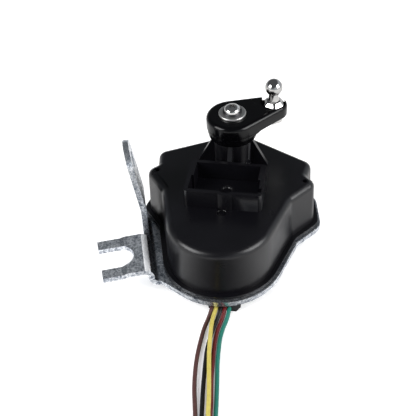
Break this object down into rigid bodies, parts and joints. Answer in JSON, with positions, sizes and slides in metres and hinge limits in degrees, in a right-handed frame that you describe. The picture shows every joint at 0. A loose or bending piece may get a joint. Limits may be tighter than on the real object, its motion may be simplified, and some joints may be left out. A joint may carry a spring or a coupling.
{
  "type": "stepper motor",
  "caption": "Geared stepper motor actuator: moulded housing with socket and output boss, crank arm with ball stud, folded steel bracket with fork and tab, free leads to a plug.",
  "frame": {"origin": "middle of the footprint of the actuator without its leads, on the surface it stands on", "axes": "+Z along the output shaft, away from the bracket plate; +X towards the side away from the fork; +Y from the rotor's end towards the output shaft"},
  "size_m": [0.1214, 0.2767, 0.0858],
  "materials": {
    "housing_plastic": "satin moulded black plastic",
    "crank_plastic": "satin moulded black plastic",
    "gasket_rubber": "matt",
    "gland_rubber": "matt",
    "seal_rubber": "matt",
    "zinc_steel": "zinc-plated sheet, bright with a mottled grain",
    "zinc_screw": "zinc plated",
    "bright_steel": "polished",
    "motor_steel": "plain drawn steel",
    "pole_steel": "plain pressed steel",
    "shaft_steel": "ground steel",
    "bobbin_plastic": "natural plastic",
    "copper_wire": "enamelled copper wire",
    "magnet": "sintered ferrite",
    "brass": "machined",
    "bronze": "sintered",
    "gear_plastic": "natural acetal",
    "plug_plastic": "natural nylon",
    "brown_lead": "vinyl",
    "yellow_lead": "vinyl",
    "black_lead": "vinyl",
    "red_lead": "vinyl",
    "green_lead": "vinyl"
  },
  "bodies": {
    "base": {"housing": "housing_plastic", "gasket": "gasket_rubber", "bracket": "zinc_steel", "lead_gland": "gland_rubber", "case_screws": "zinc_screw", "motor_can": "motor_steel", "outer_pole_lower": "pole_steel", "inner_pole_lower": "pole_steel", "inner_pole_upper": "pole_steel", "outer_pole_upper": "pole_steel", "bobbin_lower": "bobbin_plastic", "bobbin_upper": "bobbin_plastic", "winding_lower": "copper_wire", "winding_upper": "copper_wire", "terminal_block": "bobbin_plastic", "rotor_bush_lower": "bronze", "rotor_bush_upper": "bronze", "gear_carrier": "motor_steel", "carrier_posts": "shaft_steel", "carrier_screws": "shaft_steel", "stop_pin": "shaft_steel", "idler_pin": "shaft_steel", "carrier_bush": "bronze", "boss_bush_lower": "bronze", "boss_bush_upper": "bronze", "shaft_seal": "seal_rubber", "lead_brown": "brown_lead", "lead_yellow": "yellow_lead", "lead_black": "black_lead", "lead_red": "red_lead", "lead_green": "green_lead", "plug_housing": "plug_plastic", "plug_terminals": "brass"},
    "rotor": {"rotor_magnet": "magnet", "rotor_shaft": "shaft_steel", "rotor_pinion": "brass"},
    "idler": {"idler_gear": "gear_plastic"},
    "crank": {"output_gear": "gear_plastic", "output_shaft": "shaft_steel", "thrust_washer": "bronze", "crank_arm": "crank_plastic", "crank_washer": "zinc_screw", "spring_washer": "zinc_screw", "crank_screw": "bright_steel", "ball_stud": "bright_steel", "stud_nut": "zinc_screw"}
  },
  "joints": [
    {"name": "crank_swing", "type": "hinge", "parent": "base", "child": "crank", "pos_m": [0.00868, 0.0243, 0.008], "axis": [0, 0, 1], "range_deg": [-60, 60]},
    {"name": "idler_spin", "type": "hinge", "parent": "base", "child": "idler", "pos_m": [0.01213, 0.00055, 0.008], "axis": [0, 0, 1], "range_deg": [-198, 198]},
    {"name": "rotor_spin", "type": "hinge", "parent": "base", "child": "rotor", "pos_m": [0.00868, -0.0232, 0.008], "axis": [0, 0, 1], "range_deg": [-790, 790]}
  ],
  "couplings": [
    {"joint": "idler_spin", "follows": "crank_swing", "ratio": -3.2857},
    {"joint": "rotor_spin", "follows": "crank_swing", "ratio": 13.143}
  ]
}
